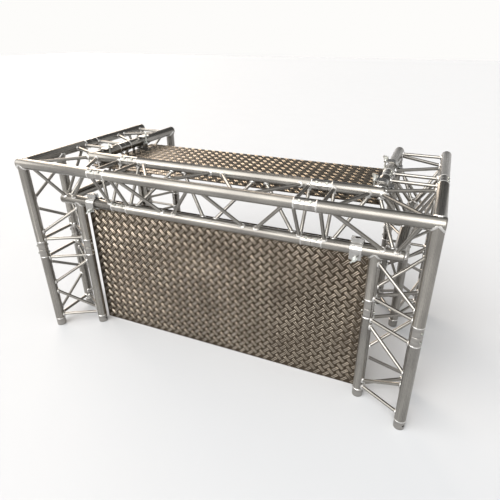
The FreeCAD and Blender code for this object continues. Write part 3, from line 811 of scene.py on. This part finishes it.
def lattice(low, high, sizes, keep_out):
    """Middles and angles of the lugs: pairs on a square lattice about the plate's middle.

    The pairs on the lattice's points lean 45 degrees one way, and those between them the other way.
    """
    middle, half = (low + high) / 2, (high - low) / 2
    reach = math.ceil(half.max() / sizes.pitch)
    steps = sizes.pitch * np.arange(-reach, reach + 1)
    cells = middle + np.stack(np.meshgrid(steps, steps, indexing="ij"), -1).reshape(-1, 2)
    found = []
    for turn, shift in ((LEAN, 0.0), (-LEAN, sizes.pitch / 2)):
        beside = np.array((-math.sin(turn), math.cos(turn))) * sizes.lug_gap / 2
        places = np.concatenate((cells + shift + beside, cells + shift - beside))
        found.append(np.column_stack((places, np.full(len(places), turn))))
    lugs = np.concatenate(found)
    free = (np.abs(lugs[:, :2] - middle) < half - sizes.margin).all(1)
    for least, most in keep_out:
        near = (lugs[:, :2] > least - sizes.clamp_margin) & (lugs[:, :2] < most + sizes.clamp_margin)
        free &= ~near.all(1)
    return lugs[free]


def lug_field(lugs, low, high, place, sizes):
    """Lugs on a sheet, cut off at its edges; place turns across, along and height into a point.

    For t and q from -1 to 1, x = a t, y = b q (1 - t^8 / 3) and height = (h + s)(1 - t^12)(1 - q^2) - s,
    with a and b half the length and width, h the height and s the depth of the rims in the sheet.
    """
    t, q = np.meshgrid(LENGTH_SHARES, WIDTH_SHARES, indexing="ij")
    x = (sizes.lug_length / 2 * t).ravel()
    y = (sizes.lug_width / 2 * q * (1 - TIP_SHARE * t ** TIP_POWER)).ravel()
    height = ((sizes.lug_height + sizes.sink) * (1 - t ** END_POWER) * (1 - q ** 2) - sizes.sink).ravel()
    cosine, sine = np.cos(lugs[:, 2:]), np.sin(lugs[:, 2:])
    across = np.clip(lugs[:, :1] + x * cosine - y * sine, low[0], high[0])
    along = np.clip(lugs[:, 1:2] + x * sine + y * cosine, low[1], high[1])
    points = place(across[..., None], along[..., None], height[:, None])
    faces = quads(*t.shape)[:, ::-1] + np.arange(len(lugs))[:, None, None] * t.size
    return plain(points.reshape(-1, 3), faces.reshape(-1, 4))


def tread(name, node, right, up, sizes, material):
    """The lugs of one tread plate, left out under the clamps that stand on it."""
    out = np.cross(right, up)
    corners = np.array(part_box(node))
    face = (corners @ out).max()
    flat = np.stack((right, up), 1)
    low, high = corners @ flat
    feet = []
    for foot in (solid.reshape(-1, 3) for solid in solids("clamp_bases")):
        if abs((foot @ out).min() - face) < SAME_PLACE:
            feet.append(((foot @ flat).min(0), (foot @ flat).max(0)))

    def place(across, along, height):
        return across * right + along * up + (face + height) * out

    field = lug_field(lattice(low, high, sizes, feet), low, high, place, sizes)
    piece(name, [field], [material])


class BOOTH_OT_tread(bpy.types.Operator):
    """Tread plates with their lugs"""
    bl_idname = "booth.tread"
    bl_label = "Tread plates"

    def execute(self, context):
        scene = context.scene
        dress(["front_panel", "counter_top"], rolled_aluminium(scene.booth_colours))
        panel_lug_paint, counter_lug_paint = worn_aluminium(scene.booth_colours), rubbed_aluminium(scene.booth_colours)
        tread("panel_lugs", "front_panel", AXES[0], AXES[2], scene.booth_tread, panel_lug_paint)
        tread("counter_lugs", "counter_top", AXES[0], AXES[1], scene.booth_tread, counter_lug_paint)
        return {"FINISHED"}


# Clamps

HARDWARE = ("swing_bolt", "clamp_washer", "wing_nut", "plate_bolts", "plate_nuts", "clamp_hinge_pins",
            "clamp_pivot_pins")


class BOOTH_OT_clamps(bpy.types.Operator):
    """Half couplers with their swing bolts, washers and wing nuts"""
    bl_idname = "booth.clamps"
    bl_label = "Clamps"

    def execute(self, context):
        dress(["clamp_bases", "clamp_straps"], polished_aluminium(context.scene.booth_colours))
        hardware = [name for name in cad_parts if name.startswith(HARDWARE)]
        dress(hardware, bpy.data.materials["zinc_steel"])
        return {"FINISHED"}


# Stage

# way: from the booth towards the lamp; level: in watts on a square metre; width: in degrees;
# tint: name of a colour
Lamp = collections.namedtuple("Lamp", "name way level width tint")
LAMPS = (
    Lamp(name="key", way=(-0.4, -0.62, 0.65), level=2.6, width=70, tint="key_light"),
    Lamp(name="front", way=(-0.05, -0.9, 0.5), level=2.0, width=50, tint="key_light"),
    Lamp(name="back", way=(-0.79, 0.55, 0.3), level=2.2, width=40, tint="back_light"),
)


def light_up(lamp, colours):
    """A broad light from one direction: soft shadows, and the same level all over the floor."""
    data = bpy.data.lights.new(lamp.name, "SUN")
    data.energy = lamp.level
    data.angle = math.radians(lamp.width)
    data.color = getattr(colours, lamp.tint)
    made = bpy.data.objects.new(lamp.name, data)
    x, y, z = lamp.way
    made.rotation_euler = (math.atan2(math.hypot(x, y), z), 0.0, math.atan2(x, -y))
    bpy.context.scene.collection.objects.link(made)


def sky(stage, colours):
    """A plain studio sky: pale at the horizon and in front, grey high at the back to give metal its form."""
    world = bpy.data.worlds.new("studio")
    world.use_nodes = True
    tree = world.node_tree
    tree.nodes.clear()
    way = add(tree, "ShaderNodeTexCoord").outputs["Generated"]
    parts = add(tree, "ShaderNodeSeparateXYZ", {}, {"Vector": way}).outputs
    upward = {"From Min": stage.horizon_share, "From Max": stage.zenith_share}
    backward = {"From Min": stage.front_share, "From Max": stage.back_share}
    high = add(tree, "ShaderNodeMapRange", upward, {"Value": parts["Z"]}).outputs["Result"]
    far = add(tree, "ShaderNodeMapRange", backward, {"Value": parts["Y"]}).outputs["Result"]
    factor = add(tree, "ShaderNodeMath", {"operation": "MULTIPLY"}, {0: high, 1: far}).outputs["Value"]
    tones = {"data_type": "RGBA", MIX_FIRST: (*colours.horizon, 1.0), MIX_SECOND: (*colours.zenith, 1.0)}
    tone = add(tree, "ShaderNodeMix", tones, {MIX_FACTOR: factor}).outputs[MIX_RESULT]
    light = add(tree, "ShaderNodeBackground", {"Strength": 1.0}, {"Color": tone})
    add(tree, "ShaderNodeOutputWorld", {}, {"Surface": light.outputs["Background"]})
    bpy.context.scene.world = world


def floor_mesh(stage, material):
    """A level square of equal steps, facing up."""
    line = np.linspace(-stage.floor_half, stage.floor_half, stage.floor_steps)
    x, y = np.meshgrid(line, line, indexing="ij")
    points = np.stack((x, y, np.full_like(x, -stage.floor_drop)), -1).reshape(-1, 3)
    mesh = bpy.data.meshes.new("floor")
    mesh.from_pydata(points.tolist(), [], quads(*x.shape)[:, ::-1].tolist())
    mesh.materials.append(material)
    return mesh


class BOOTH_OT_stage(bpy.types.Operator):
    """Pale floor, studio light and the photograph's camera"""
    bl_idname = "booth.stage"
    bl_label = "Stage"

    def execute(self, context):
        scene = context.scene
        stage, colours = scene.booth_stage, scene.booth_colours
        floor = bpy.data.objects.new("floor", floor_mesh(stage, floor_paint(colours)))
        scene.collection.objects.link(floor)
        sky(stage, colours)
        for lamp in LAMPS:
            light_up(lamp, colours)
        data = bpy.data.cameras.new("camera")
        data.sensor_width = stage.sensor
        data.lens = stage.lens
        data.shift_x, data.shift_y = stage.shift_share
        camera = bpy.data.objects.new("camera", data)
        camera.location = stage.eye
        camera.rotation_euler = (math.pi / 2 - stage.pitch, 0.0, stage.yaw)
        scene.collection.objects.link(camera)
        scene.camera = camera
        scene.view_settings.view_transform = "Standard"
        return {"FINISHED"}


class BOOTH_PT_panel(bpy.types.Panel):
    """Sidebar panel with the steps in order"""
    bl_idname = "BOOTH_PT_panel"
    bl_label = "Booth"
    bl_space_type = "VIEW_3D"
    bl_region_type = "UI"
    bl_category = "Booth"

    def draw(self, context):
        for step in STEPS:
            self.layout.operator(step.bl_idname)


GROUPS = {"booth_tubes": BoothTubes, "booth_braces": BoothBraces, "booth_pins": BoothPins,
          "booth_tread": BoothTread, "booth_colours": BoothColours, "booth_stage": BoothStage}
STEPS = (BOOTH_OT_tubes, BOOTH_OT_braces, BOOTH_OT_welds, BOOTH_OT_pins, BOOTH_OT_tread, BOOTH_OT_clamps,
         BOOTH_OT_stage)
CLASSES = tuple(GROUPS.values()) + STEPS + (BOOTH_PT_panel,)


def register():
    """Registers the classes and hangs their settings on the scene."""
    for kind in CLASSES:
        bpy.utils.register_class(kind)
    for name, kind in GROUPS.items():
        setattr(bpy.types.Scene, name, PointerProperty(type=kind))


def unregister():
    """Takes the settings and the classes away again."""
    for name in GROUPS:
        delattr(bpy.types.Scene, name)
    for kind in reversed(CLASSES):
        bpy.utils.unregister_class(kind)


def main():
    """Runs the steps in order."""
    register()
    bpy.ops.booth.tubes()
    bpy.ops.booth.braces()
    bpy.ops.booth.welds()
    bpy.ops.booth.pins()
    bpy.ops.booth.tread()
    bpy.ops.booth.clamps()
    bpy.ops.booth.stage()
    bpy.context.view_layer.update()


if __name__ == "__main__":
    main()
